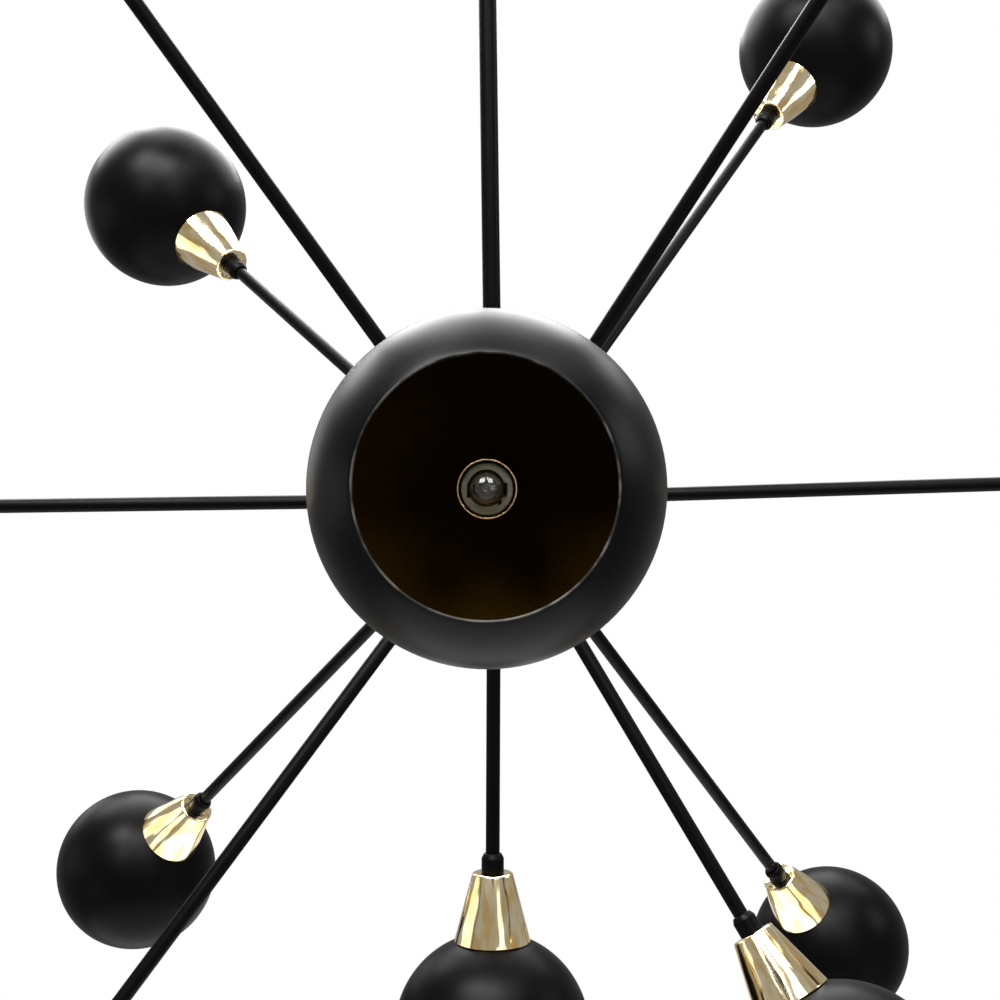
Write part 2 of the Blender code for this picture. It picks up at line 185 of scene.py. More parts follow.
def fillet(outline, radii, closed=True):
    """Round each corner of a flat outline; `radii` is one size, or one for each point."""
    count = len(outline)
    if isinstance(radii, float):
        radii = [radii] * count
    made = []
    for index, point in enumerate(outline):
        here = Vector(point)
        is_end = not closed and index in (0, count - 1)
        if is_end or radii[index] == 0.0:
            made.append(tuple(here))
            continue
        before = Vector(outline[index - 1]) - here
        after = Vector(outline[(index + 1) % count]) - here
        half = before.angle(after) / 2.0
        if half > math.radians(FLATTEST_CORNER):
            made.append(tuple(here))
            continue
        setback = min(radii[index] / math.tan(half), before.length * 0.49, after.length * 0.49)
        first = here + before.normalized() * setback
        last = here + after.normalized() * setback
        for step in range(FILLET_STEPS + 1):
            t = step / FILLET_STEPS
            mixed = first * (1.0 - t) ** 2 + here * 2.0 * t * (1.0 - t) + last * t ** 2
            made.append(tuple(mixed))
    return made


def mesh_from(name, points, faces, degrees=SHARP_DEGREES):
    mesh = bpy.data.meshes.new(name)
    mesh.from_pydata(points, [], faces)
    bm = bmesh.new()
    bm.from_mesh(mesh)
    bmesh.ops.remove_doubles(bm, verts=bm.verts, dist=1e-7)
    bmesh.ops.recalc_face_normals(bm, faces=bm.faces)
    bm.to_mesh(mesh)
    bm.free()
    mesh.shade_smooth()
    mesh.set_sharp_from_angle(angle=math.radians(degrees))
    return mesh


def turned(name, outline, sides=SIDES, closed=True, degrees=SHARP_DEGREES):
    """Turn (radius, height) points round local Z; an open outline starts and ends on the axis."""
    points = []
    for step in range(sides):
        turn = 2.0 * math.pi * step / sides
        across, up = math.cos(turn), math.sin(turn)
        points += [(radius * across, radius * up, height) for radius, height in outline]
    count = len(outline)
    spans = count if closed else count - 1
    faces = []
    for step in range(sides):
        here = step * count
        there = (step + 1) % sides * count
        for low in range(spans):
            high = (low + 1) % count
            faces.append((here + low, there + low, there + high, here + high))
    return mesh_from(name, points, faces, degrees)


def prism(name, outline, low, high, degrees=SHARP_DEGREES):
    """A flat (x, y) outline made into a closed block between two heights."""
    count = len(outline)
    points = [(x, y, low) for x, y in outline] + [(x, y, high) for x, y in outline]
    faces = [tuple(range(count)), tuple(range(count, 2 * count))]
    faces += [(i, (i + 1) % count, (i + 1) % count + count, i + count) for i in range(count)]
    return mesh_from(name, points, faces, degrees)


def tube_along(name, path, radius, sides):
    """Round wire or tube along a list of points, with capped ends."""
    path = [Vector(point) for point in path]
    count = len(path)
    points = []
    side = None
    for index, here in enumerate(path):
        ahead = path[min(index + 1, count - 1)] - path[max(index - 1, 0)]
        ahead.normalize()
        if side is None:
            side = ahead.orthogonal().normalized()
        side = (side - ahead * side.dot(ahead)).normalized()
        up = ahead.cross(side)
        for step in range(sides):
            turn = 2.0 * math.pi * step / sides
            points.append(tuple(here + (side * math.cos(turn) + up * math.sin(turn)) * radius))
    faces = []
    for index in range(count - 1):
        here = index * sides
        there = here + sides
        for step in range(sides):
            after = (step + 1) % sides
            faces.append((here + step, here + after, there + after, there + step))
    faces.append(tuple(range(sides)))
    faces.append(tuple(range((count - 1) * sides, count * sides)))
    return mesh_from(name, points, faces)


def carved(name, mesh, cutters, bevel=0.0, unions=()):
    """Cut the cutters out of a mesh, after joining the unions on, and soften the edges."""
    scene = bpy.context.scene
    body = bpy.data.objects.new(name, mesh)
    scene.collection.objects.link(body)
    helpers = []
    for operation, tools in (("UNION", unions), ("DIFFERENCE", cutters)):
        for tool in tools:
            helper = bpy.data.objects.new("tool", tool)
            scene.collection.objects.link(helper)
            helpers.append(helper)
            step = body.modifiers.new("cut", "BOOLEAN")
            step.operation = operation
            step.solver = "EXACT"
            step.object = helper
    if bevel:
        soft = body.modifiers.new("soft", "BEVEL")
        soft.width = bevel
        soft.segments = 2
        soft.limit_method = "ANGLE"
        soft.angle_limit = math.radians(35.0)
        soft.use_clamp_overlap = True
    bpy.context.view_layer.update()
    graph = bpy.context.evaluated_depsgraph_get()
    made = bpy.data.meshes.new_from_object(body.evaluated_get(graph))
    made.name = name
    for item in helpers + [body]:
        bpy.data.objects.remove(item, do_unlink=True)
    made.shade_smooth()
    made.set_sharp_from_angle(angle=math.radians(SHARP_DEGREES))
    return made


def place(name, mesh, finish, matrix, body, slot, *nodes):
    """Put a piece on its CAD body, in place of its CAD nodes; the slot is not used."""
    item = bpy.data.objects.new(name, mesh)
    bpy.context.scene.collection.objects.link(item)
    if not mesh.materials:
        for one in finish if isinstance(finish, (list, tuple)) else [finish]:
            mesh.materials.append(one)
    item.matrix_world = matrix
    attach(item, body)
    if nodes:
        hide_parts(*nodes)
    return item


# ---------------------------------------------------------------- materials

class Nodes:
    """Short way to add and wire the nodes of one material."""

    def __init__(self, name, colour, roughness, metallic=0.0):
        self.material = bpy.data.materials.new(name)
        self.material.use_nodes = True
        self.tree = self.material.node_tree
        self.shader = self.tree.nodes["Principled BSDF"]
        self.shader.inputs["Base Color"].default_value = (*colour, 1.0)
        self.shader.inputs["Roughness"].default_value = roughness
        self.shader.inputs["Metallic"].default_value = metallic
        self.place = self.tree.nodes.new("ShaderNodeTexCoord").outputs["Object"]

    def add(self, kind, **values):
        node = self.tree.nodes.new(kind)
        for key, value in values.items():
            node.inputs[key].default_value = value
        return node

    def link(self, source, target):
        self.tree.links.new(source, target)

    def stretched(self, scale):
        """Object coordinates scaled along each axis."""
        node = self.add("ShaderNodeMapping", Scale=scale)
        self.link(self.place, node.inputs["Vector"])
        return node.outputs["Vector"]

    def noise(self, scale, detail=3.0, where=None):
        node = self.add("ShaderNodeTexNoise", Scale=scale, Detail=detail)
        self.link(where or self.place, node.inputs["Vector"])
        return node.outputs["Fac"]

    def spots(self, scale, size, share):
        """Small round specks in some of the cells: 1 on a speck and 0 off it."""
        node = self.add("ShaderNodeTexVoronoi", Scale=scale)
        self.link(self.place, node.inputs["Vector"])
        near = self.ranged(node.outputs["Distance"], 0.0, size, 1.0, 0.0)
        split = self.add("ShaderNodeSeparateColor")
        self.link(node.outputs["Color"], split.inputs["Color"])
        kept = self.ranged(split.outputs["Red"], share, share - 0.001, 0.0, 1.0)
        both = self.tree.nodes.new("ShaderNodeMath")
        both.operation = "MULTIPLY"
        self.link(near, both.inputs[0])
        self.link(kept, both.inputs[1])
        return both.outputs["Value"]

    def ranged(self, source, low, high, new_low, new_high):
        node = self.add("ShaderNodeMapRange")
        node.clamp = True
        for key, value in zip(("From Min", "From Max", "To Min", "To Max"), (low, high, new_low, new_high)):
            node.inputs[key].default_value = value
        self.link(source, node.inputs["Value"])
        return node.outputs["Result"]

    def mixed(self, factor, first, second):
        """Blend two colours, or a wired colour and a plain one, by a wired factor."""
        node = self.tree.nodes.new("ShaderNodeMix")
        node.data_type = "RGBA"
        self.link(factor, node.inputs["Factor"])
        for value, socket in ((first, node.inputs[6]), (second, node.inputs[7])):
            if isinstance(value, tuple):
                socket.default_value = (*value, 1.0)
            else:
                self.link(value, socket)
        return node.outputs[2]

    def colour(self, source):
        self.link(source, self.shader.inputs["Base Color"])

    def roughness(self, source):
        self.link(source, self.shader.inputs["Roughness"])

    def bump(self, source, depth, strength=1.0, after=None):
        node = self.add("ShaderNodeBump", Strength=strength, Distance=depth)
        self.link(source, node.inputs["Height"])
        if after:
            self.link(after, node.inputs["Normal"])
        self.link(node.outputs["Normal"], self.shader.inputs["Normal"])
        return node.outputs["Normal"]


def powder_coat(name, rough_low, rough_high, grain):
    """Satin black powder coat: fine orange-peel grain, patchy sheen and a few pale dust specks."""
    n = Nodes(name, (0.0020, 0.0020, 0.0021), rough_low)
    n.shader.inputs["Specular IOR Level"].default_value = COAT_SPECULAR
    cloud = n.noise(38.0, 4.0)
    fine = n.noise(2300.0, 2.0)
    tone = n.mixed(n.ranged(fine, 0.3, 0.7, 0.0, 1.0), (0.0005, 0.0005, 0.00055), (0.0014, 0.0014, 0.0015))
    dust = n.spots(170.0, 0.045, 0.11)
    n.colour(n.mixed(dust, tone, (0.12, 0.115, 0.11)))
    n.roughness(n.ranged(cloud, 0.3, 0.7, rough_low, rough_high))
    first = n.bump(n.noise(420.0, 3.0), grain, 0.5)
    n.bump(fine, grain, 0.6, first)
    return n.material


def bronze_inside():
    """Bronze-gold paint inside the shades with a fine grain, made darker still as painted shade inside the
    globe.
    """
    n = Nodes("shade_inside_bronze", (0.020, 0.010, 0.0008), 0.55)
    n.shader.inputs["Specular IOR Level"].default_value = LINING_SPECULAR
    fine = n.noise(1500.0, 3.0)
    cloud = n.noise(60.0, 3.0)
    # Partly the paint's own dark bronze, partly painted shade: the tones are kept near black for the shade
    # inside the globe.
    tone = n.mixed(n.ranged(fine, 0.3, 0.7, 0.0, 1.0), (0.018, 0.0090, 0.0004), (0.052, 0.0270, 0.0015))
    n.colour(n.mixed(n.ranged(cloud, 0.35, 0.65, 0.0, 0.35), tone, (0.048, 0.0270, 0.0020)))
    n.roughness(n.ranged(cloud, 0.3, 0.7, 0.46, 0.6))
    n.bump(fine, 0.00006, 0.8)
    return n.material


def bare_edge():
    """Cut edge of the sheet at the shade's mouth, where the coat is thin and the metal shows."""
    n = Nodes("shade_rim_edge", (0.03, 0.0295, 0.028), 0.6)
    n.shader.inputs["Specular IOR Level"].default_value = EDGE_SPECULAR
    worn = n.noise(90.0, 5.0)
    n.colour(n.mixed(n.ranged(worn, 0.45, 0.62, 0.0, 1.0), (0.004, 0.004, 0.0038), (0.040, 0.038, 0.034)))
    n.roughness(n.ranged(worn, 0.3, 0.7, 0.7, 0.55))
    n.bump(n.noise(900.0, 3.0), 0.00002, 0.4)
    return n.material


def brass(name, polish, pale, deep):
    """Polished brass with fine turning marks, faint haze, the slight waves of a spun surface and painted
    reflection streaks running lengthwise in its colour.
    """
    n = Nodes(name, pale, polish, 1.0)
    cloud = n.noise(90.0, 4.0)
    # Painted reflection: lengthwise streaks blend the pale and deep colours to stand in for reflected studio
    # lights and dark surroundings.
    painted_reflection_streaks = n.noise(1.0, 1.5, n.stretched((150.0, 150.0, 16.0)))
    n.colour(n.mixed(n.ranged(painted_reflection_streaks, 0.42, 0.62, 0.0, 1.0), pale, deep))
    n.roughness(n.ranged(cloud, 0.3, 0.75, polish, polish + 0.07))
    waves = n.bump(n.noise(1.0, 0.6, n.stretched((120.0, 120.0, 30.0))), 0.00120, 0.7)
    n.bump(n.noise(3.0, 3.0, n.stretched((60.0, 60.0, 2600.0))), 0.000004, 0.12, waves)
    return n.material


def ceramic():
    """Unglazed pale steatite, coloured darker and olive as painted shade and warm bounce light inside the
    holder, with fine pits and handling marks.
    """
    n = Nodes("lampholder_ceramic", (0.30, 0.295, 0.21), 0.62)
    cloud = n.noise(260.0, 4.0)
    fine = n.noise(3200.0, 2.0)
    # Painted shade: both tones are kept dark and olive to stand in for the shade and warm bounce light in
    # the holder's recess.
    tone = n.mixed(n.ranged(cloud, 0.35, 0.65, 0.0, 1.0), (0.24, 0.24, 0.165), (0.34, 0.335, 0.25))
    n.colour(n.mixed(n.spots(900.0, 0.12, 0.2), tone, (0.16, 0.14, 0.10)))
    n.roughness(n.ranged(cloud, 0.3, 0.7, 0.5, 0.7))
    n.bump(fine, 0.00005, 0.6)
    return n.material


def zinc(name, tint=(0.62, 0.63, 0.64)):
    """Zinc-plated steel: mottled crystals, light scratches and a dull shine."""
    n = Nodes(name, tint, 0.32, 1.0)
    cell = n.add("ShaderNodeTexVoronoi", Scale=700.0)
    n.link(n.place, cell.inputs["Vector"])
    shade = tuple(part * 0.72 for part in tint)
    n.colour(n.mixed(n.ranged(cell.outputs["Distance"], 0.0, 0.8, 0.0, 1.0), tint, shade))
    scratch = n.noise(5.0, 5.0, n.stretched((40.0, 900.0, 40.0)))
    n.roughness(n.ranged(n.noise(120.0), 0.3, 0.7, 0.26, 0.44))
    n.bump(scratch, 0.00002, 0.4)
    return n.material


def glass(name, tint):
    """Clear fused glass with the slight waviness of tube pulled from the melt."""
    n = Nodes(name, tint, 0.0)
    n.shader.inputs["Transmission Weight"].default_value = 1.0
    n.shader.inputs["IOR"].default_value = 1.46
    haze = n.noise(300.0, 3.0)
    n.roughness(n.ranged(haze, 0.45, 0.8, 0.0, 0.06))
    n.bump(n.noise(240.0, 2.0), 0.00004, 0.35)
    return n.material


def tungsten():
    n = Nodes("filament_tungsten", (0.34, 0.33, 0.32), 0.35, 1.0)
    grain = n.noise(5000.0, 3.0)
    n.colour(n.mixed(grain, (0.26, 0.25, 0.24), (0.50, 0.48, 0.46)))
    n.roughness(n.ranged(grain, 0.3, 0.7, 0.28, 0.45))
    n.bump(grain, 0.00001, 0.4)
    return n.material


def studio_floor_paint():
    n = Nodes("studio_floor", (0.86, 0.86, 0.85), 0.6)
    cloud = n.noise(1.4, 4.0)
    n.colour(n.mixed(cloud, (0.85, 0.85, 0.84), (0.88, 0.88, 0.875)))
    n.roughness(n.ranged(n.noise(20.0), 0.3, 0.7, 0.55, 0.7))
    n.bump(n.noise(160.0), 0.0004, 0.3)
    return n.material


ARM_COAT = powder_coat("arm_powder_coat", 0.34, 0.40, 0.000002)
SHADE_COAT = powder_coat("shade_powder_coat", 0.33, 0.38, 0.00003)
CANOPY_COAT = powder_coat("canopy_powder_coat", 0.33, 0.38, 0.00003)
SHADE_INSIDE = bronze_inside()
SHADE_EDGE = bare_edge()
BRASS = brass("polished_brass", 0.08, (0.97, 0.84, 0.55), (0.86, 0.62, 0.27))
SLEEVE_BRASS = brass("sleeve_brass", 0.16, (0.90, 0.62, 0.30), (0.82, 0.52, 0.21))
CERAMIC = ceramic()
ZINC = zinc("zinc_plate")
YELLOW_ZINC = zinc("yellow_zinc_plate", (0.70, 0.58, 0.33))
JACKET_GLASS = glass("jacket_glass", (0.985, 0.99, 0.985))
CAPSULE_GLASS = glass("capsule_glass", (0.96, 0.97, 0.98))
TUNGSTEN = tungsten()


# ---------------------------------------------------------------- light frames

HUB_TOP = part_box("hub_body")[1].z
HUB = Vector((0.0, 0.0, HUB_TOP - math.sqrt(HUB_RADIUS ** 2 - HUB_MOUTH_RADIUS ** 2)))
PULLS = {j["name"]: j for j in frame["joints"] if j["name"].startswith("bulb_pull_")}


def outward_of(light):
    return Vector(PULLS["bulb_pull_" + light]["axis"]).normalized()


def reach_of(light):
    """Distance from hub centre to globe centre, from the arm's own box along its longest direction."""
    outward = outward_of(light)
    low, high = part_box("arm_" + light)
    axis = max(range(3), key=lambda index: abs(outward[index]))
    middle = (low[axis] + high[axis]) / 2.0
    return 2.0 * (middle - HUB[axis]) / outward[axis] - ARM_START + NIPPLE_END


def light_matrix(light, reach):
    """Origin at the globe centre, Z outward along the arm, Y as near to up as it can be."""
    outward = outward_of(light)
    across = Vector((0.0, 0.0, 1.0)).cross(outward).normalized()
    up = outward.cross(across)
    turn = Matrix((across, up, outward)).transposed().to_4x4()
    return Matrix.Translation(HUB + outward * reach) @ turn


# ---------------------------------------------------------------- one light

def globe_mesh():
    """Spun globe: black outside, bronze inside, with the cut sheet edge showing at the mouth."""
    inner = SHADE_RADIUS - SHADE_SHEET
    front = math.asin(SHADE_MOUTH_RADIUS / SHADE_RADIUS)
    back = math.pi - math.asin(SHADE_NECK_RADIUS / SHADE_RADIUS)
    steps = 60
    edge = SHADE_SHEET * 0.35 / SHADE_RADIUS
    outside = arc(SHADE_RADIUS, front + edge, back, steps)
    inside = arc(inner, front + edge, back, steps)
    middle = SHADE_RADIUS - SHADE_SHEET / 2.0
    lip_turns = [math.pi * step / 8 for step in range(9)]
    along = Vector((math.cos(front), -math.sin(front)))
    outward = Vector((math.sin(front), math.cos(front)))
    root = outward * middle - along * edge * -SHADE_RADIUS
    lip = []
    for turn in lip_turns:
        point = root + outward * math.cos(turn) * SHADE_SHEET / 2.0
        point -= along * math.sin(turn) * SHADE_SHEET * 0.35
        lip.append(tuple(point))
    neck = [outside[-1], inside[-1]]
    coat = turned("coat", outside + [neck[1]], FINE_SIDES, closed=False)
    lining = turned("lining", inside, FINE_SIDES, closed=False)
    rim = turned("rim", lip, FINE_SIDES, closed=False)
    bm = bmesh.new()
    for number, mesh in enumerate((coat, lining, rim)):
        start = len(bm.faces)
        bm.from_mesh(mesh)
        bm.faces.ensure_lookup_table()
        for face in bm.faces[start:]:
            face.material_index = number
    bmesh.ops.remove_doubles(bm, verts=bm.verts, dist=2e-6)
    bmesh.ops.recalc_face_normals(bm, faces=bm.faces)
    made = bpy.data.meshes.new("globe")
    bm.to_mesh(made)
    bm.free()
    made.shade_smooth()
    made.set_sharp_from_angle(angle=math.radians(50.0))
    return made


def cone_mesh():
    """Brass cone with a rounded top edge round a flat ring, and a rolled lip on the globe."""
    lip = CUP_BASE_RADIUS - CUP_WALL
    plate = CUP_TOP_HEIGHT - CUP_WALL
    outline = [
        (CUP_BORE, -CUP_TOP_HEIGHT),
        (CUP_TOP_RADIUS, -CUP_TOP_HEIGHT),
        (CUP_BASE_RADIUS, -CUP_BASE_HEIGHT),
        (lip, -CUP_BASE_HEIGHT - CUP_WALL / 2.0),
        (CUP_TOP_RADIUS - CUP_WALL, -plate),
        (CUP_BORE, -plate),
    ]
    radii = [0.0002, 0.0018, 0.0005, 0.0003, 0.0010, 0.0002]
    return turned("brass_cone", fillet(outline, radii), FINE_SIDES)


def sleeve_mesh():
    """Brass sleeve that holds the ceramic, rolled slightly at its mouth."""
    bore = SLEEVE_RADIUS - SLEEVE_WALL
    top = CUP_TOP_HEIGHT - CUP_WALL - GAP
    outline = [
        (SLEEVE_RADIUS, -top),
        (SLEEVE_RADIUS, -SLEEVE_MOUTH_HEIGHT),
        (bore, -SLEEVE_MOUTH_HEIGHT),
        (bore, -top),
    ]
    return turned("brass_sleeve", fillet(outline, [0.0002, 0.0004, 0.00035, 0.0002]), SIDES)


def slot_outline(width, height, centre, corner, steps=5):
    """Rounded rectangle as flat (x, y) points."""
    made = []
    for across, up, start in ((1, 1, 0.0), (-1, 1, 90.0), (-1, -1, 180.0), (1, -1, 270.0)):
        x = centre[0] + across * (width / 2.0 - corner)
        y = centre[1] + up * (height / 2.0 - corner)
        for step in range(steps + 1):
            turn = math.radians(start + 90.0 * step / steps)
            made.append((x + corner * math.cos(turn), y + corner * math.sin(turn)))
    return made


def plateau_outline():
    """Raised part of the ceramic face: wide at the sides, narrower on top, cut straight below."""
    side = math.asin(PLATEAU_FOOT / PLATEAU_RADIUS)
    shoulder = math.radians(26.0)
    made = []
    for step in range(17):
        turn = side + (shoulder - side) * step / 16
        made.append((PLATEAU_RADIUS * math.cos(turn), PLATEAU_RADIUS * math.sin(turn)))
    for step in range(33):
        turn = shoulder + (math.pi - 2.0 * shoulder) * step / 32
        made.append((PLATEAU_TOP_RADIUS * math.cos(turn), PLATEAU_TOP_RADIUS * math.sin(turn)))
    for step in range(17):
        turn = math.pi - shoulder + (shoulder - side) * step / 16
        made.append((PLATEAU_RADIUS * math.cos(turn), PLATEAU_RADIUS * math.sin(turn)))
    return made


def ceramic_mesh():
    """Ceramic block with its raised plateau, the slot for the lamp's press and a screw hole."""
    face = -HOLDER_FACE_HEIGHT
    block_face = face - CERAMIC_STEP
    block = [
        (0.0, block_face),
        (CERAMIC_RADIUS - 0.0006, block_face),
        (CERAMIC_RADIUS, block_face - 0.0006),
        (CERAMIC_RADIUS, -HOLDER_BACK_HEIGHT),
        (0.0, -HOLDER_BACK_HEIGHT),
    ]
    body = turned("ceramic_block", block, SIDES, closed=False)
    plateau = prism("plateau", plateau_outline(), block_face - 0.002, face)
    centre = (0.0, -PRESS_SLOT_DROP)
    slot = slot_outline(PRESS_SLOT_WIDTH, PRESS_SLOT_HEIGHT, centre, 0.0005)
    press = prism("press_slot", slot, face - PRESS_SLOT_DEPTH, 0.001)
    hole = turned("screw_hole", [
        (0.0, 0.001), (SCREW_HOLE_RADIUS, 0.001), (SCREW_HOLE_RADIUS, face - 0.012), (0.0, face - 0.012),
    ], 20, closed=False)
    hole.transform(Matrix.Translation((*SCREW_HOLE_PLACE, 0.0)))
    return carved("ceramic", body, [press, hole], 0.00022, [plateau])


def nut_mesh():
    """Hexagon locknut on the arm's threaded end, inside the sleeve."""
    corner = 0.013 / math.sqrt(3.0)
    corners = []
    for step in range(6):
        turn = math.radians(60.0 * step)
        corners.append((corner * math.cos(turn), corner * math.sin(turn)))
    low = -(CUP_TOP_HEIGHT - CUP_WALL - GAP * 2.0)
    body = prism("nut", corners, low, low + 0.0030)
    radius = ARM_RADIUS + 0.0001
    bore = turned("bore", [(0.0, -0.2), (radius, -0.2), (radius, 0.0), (0.0, 0.0)], 32, closed=False)
    return carved("lock_nut", body, [bore], 0.0003)


def arm_tube_mesh(name, reach):
    """Steel tube arm, hollow for the wires, with a threaded nipple."""
    start = reach - ARM_START
    pitch = ARM_THREAD_PITCH
    outline = [(ARM_BORE, -start), (ARM_RADIUS, -start), (ARM_RADIUS, -CUP_TOP_HEIGHT - 0.0004)]
    height = -CUP_TOP_HEIGHT
    while height < -NIPPLE_END - pitch:
        outline.append((ARM_RADIUS - 0.0001, height))
        outline.append((ARM_RADIUS - 0.00045, height + pitch / 2.0))
        height += pitch
    outline += [(ARM_RADIUS - 0.0004, -NIPPLE_END), (ARM_BORE, -NIPPLE_END)]
    return turned(name, outline, 40)


def collar_mesh():
    """Black collar that locks the cone on: rounded shoulder towards the hub, crisp edge on the cone."""
    front = CUP_TOP_HEIGHT + GAP / 2.0
    back = CUP_TOP_HEIGHT + GAP + COLLAR_LENGTH
    bore = ARM_RADIUS + 0.00005
    outline = [
        (bore, -back),
        (ARM_RADIUS + 0.0012, -back),
        (COLLAR_RADIUS, -back + 0.0034),
        (COLLAR_RADIUS, -front),
        (bore, -front),
    ]
    return turned("arm_collar", fillet(outline, [0.0001, 0.0012, 0.0018, 0.0004, 0.0001]), SIDES)


def jacket_mesh():
    """Outer glass of the lamp: a domed tube with a real wall, pinched shut in a flat press behind."""
    inner = JACKET_RADIUS - JACKET_WALL
    seat = HOLDER_FACE_HEIGHT - 0.0004
    dome = JACKET_TIP - JACKET_SHOULDER
    outline = [(0.0, JACKET_TIP)]
    for step in range(1, 15):
        turn = math.pi / 2.0 * step / 14
        outline.append((JACKET_RADIUS * math.sin(turn), JACKET_SHOULDER + dome * math.cos(turn)))
    outline += [(JACKET_RADIUS, -seat + 0.0015), (JACKET_RADIUS - 0.0012, -seat)]
    outline += [(inner - 0.0016, -seat + 0.0012), (inner, -seat + 0.003)]
    for step in range(15):
        turn = math.pi / 2.0 * (1.0 - step / 14)
        outline.append((inner * math.sin(turn), JACKET_SHOULDER + (dome - JACKET_WALL) * math.cos(turn)))
    return turned("lamp_jacket", outline, SIDES, closed=False, degrees=60.0)


def press_mesh():
    """Flat glass press of the lamp, in the holder's slot, with softened edges."""
    top = -HOLDER_FACE_HEIGHT + 0.0002
    outline = slot_outline(PRESS_WIDTH, PRESS_THICKNESS, (0.0, -PRESS_SLOT_DROP), 0.0012)
    body = prism("lamp_press", outline, top - PRESS_LENGTH, top)
    return carved("lamp_press", body, [], 0.0005)


def capsule_mesh():
    """Inner quartz capsule with a stepped, drawn-off tip."""
    base = -0.0035
    shoulder = CAPSULE_TIP - 0.0052
    outside = [
        (0.0, CAPSULE_TIP),
        (0.0006, CAPSULE_TIP - 0.0001),
        (0.0009, CAPSULE_TIP - 0.0007),
        (0.0012, CAPSULE_TIP - 0.0017),
        (0.0019, CAPSULE_TIP - 0.0023),
        (0.0027, CAPSULE_TIP - 0.0030),
        (0.0033, CAPSULE_TIP - 0.0038),
        (CAPSULE_RADIUS, shoulder),
        (CAPSULE_RADIUS, base),
    ]
    inside = [
        (CAPSULE_RADIUS - CAPSULE_WALL, base),
        (CAPSULE_RADIUS - CAPSULE_WALL, shoulder - 0.0002),
        (0.0022, CAPSULE_TIP - 0.0042),
        (0.0012, CAPSULE_TIP - 0.0034),
        (0.0, CAPSULE_TIP - 0.0030),
    ]
    outline = fillet(outside + inside, 0.0006, closed=False)
    return turned("lamp_capsule", outline, 48, closed=False, degrees=60.0)


def filament_mesh():
    """Coiled filament on two lead wires, with the post that steadies its top."""
    turns = 15
    coil_radius = 0.00075
    low, high = 0.001, 0.0125
    coil = []
    for step in range(turns * 12 + 1):
        turn = 2.0 * math.pi * step / 12
        height = low + (high - low) * step / (turns * 12)
        coil.append((coil_radius * math.cos(turn), coil_radius * math.sin(turn), height))
    wires = [tube_along("coil", coil, 0.00014, 6)]
    for side in (-1.0, 1.0):
        lead = [
            (side * 0.0022, -PRESS_SLOT_DROP, -0.0165),
            (side * 0.0022, -PRESS_SLOT_DROP, -0.006),
            (side * 0.0017, -0.0002, -0.001),
            (side * 0.0016, 0.0, 0.004 if side < 0 else 0.0135),
            (side * 0.0008, 0.0, low if side < 0 else 0.0139),
            (0.0, 0.0, low - 0.0001 if side < 0 else high + 0.0002),
        ]
        wires.append(tube_along("lead", lead, 0.0002, 8))
    post = [(0.0, 0.0046, -0.0085), (0.0, 0.0050, 0.008), (0.0, 0.0046, 0.0165), (0.0, 0.0030, 0.0185)]
    wires.append(tube_along("post", post, 0.00035, 8))
    return joined_plain("lamp_filament", wires)


def pins_mesh():
    """Two looped contact pins of the lamp's base."""
    root = -HOLDER_FACE_HEIGHT - PRESS_LENGTH + 0.0015
    gauge = 0.0011
    wires = []
    for side in (-1.0, 1.0):
        middle = side * PIN_SPACING / 2.0
        depth = root - PIN_LENGTH + gauge
        loop = [(middle - gauge, -PRESS_SLOT_DROP, root), (middle - gauge, -PRESS_SLOT_DROP, depth)]
        for step in range(1, 9):
            turn = math.pi * step / 8
            across = middle - gauge * math.cos(turn)
            loop.append((across, -PRESS_SLOT_DROP, depth - gauge * math.sin(turn)))
        loop.append((middle + gauge, -PRESS_SLOT_DROP, root))
        wires.append(tube_along("pin", loop, PIN_WIRE, 10))
    return joined_plain("lamp_pins", wires)


def joined_plain(name, meshes):
    """Several meshes of one material as one mesh."""
    bm = bmesh.new()
    for mesh in meshes:
        bm.from_mesh(mesh)
    made = bpy.data.meshes.new(name)
    bm.to_mesh(made)
    bm.free()
    made.shade_smooth()
    made.set_sharp_from_angle(angle=math.radians(40.0))
    return made


def build_lights():
    globe = globe_mesh()
    cone = cone_mesh()
    sleeve = sleeve_mesh()
    ceramic_block = ceramic_mesh()
    nut = nut_mesh()
    collar = collar_mesh()
    jacket = jacket_mesh()
    press = press_mesh()
    capsule = capsule_mesh()
    filament = filament_mesh()
    pins = pins_mesh()
    for joint in sorted(PULLS):
        light = joint[len("bulb_pull_"):]
        reach = reach_of(light)
        matrix = light_matrix(light, reach)
        bulb = "bulb_" + light
        tube = arm_tube_mesh("arm_tube_" + light, reach)
        place("tube_" + light, tube, ARM_COAT, matrix, "chandelier", "black_powder_coat", "arm_" + light)
        place("collar_" + light, collar, ARM_COAT, matrix, "chandelier", "black_powder_coat", "arm_" + light)
        place("cone_" + light, cone, BRASS, matrix, "chandelier", "polished_brass", "cup_" + light)
        place("sleeve_" + light, sleeve, SLEEVE_BRASS, matrix, "chandelier", "polished_brass",
              "cup_" + light)
        place("ceramic_" + light, ceramic_block, CERAMIC, matrix, "chandelier", None, "cup_" + light)
        place("locknut_" + light, nut, ZINC, matrix, "chandelier", "zinc_steel")
        shade = globe.copy()
        shade.transform(matrix)
        coats = [SHADE_COAT, SHADE_INSIDE, SHADE_EDGE]
        place("globe_" + light, shade, coats, Matrix.Identity(4), "chandelier", "black_shade",
              "shade_" + light)
        place("jacket_" + light, jacket, JACKET_GLASS, matrix, bulb, "bulb_glass", bulb)
        place("press_" + light, press, JACKET_GLASS, matrix, bulb, "bulb_glass", bulb)
        place("capsule_" + light, capsule, CAPSULE_GLASS, matrix, bulb, "bulb_glass")
        place("filament_" + light, filament, TUNGSTEN, matrix, bulb, "zinc_steel")
        place("pins_" + light, pins, ZINC, matrix, bulb, "zinc_steel")


# ---------------------------------------------------------------- hub, stem, knuckle and canopy

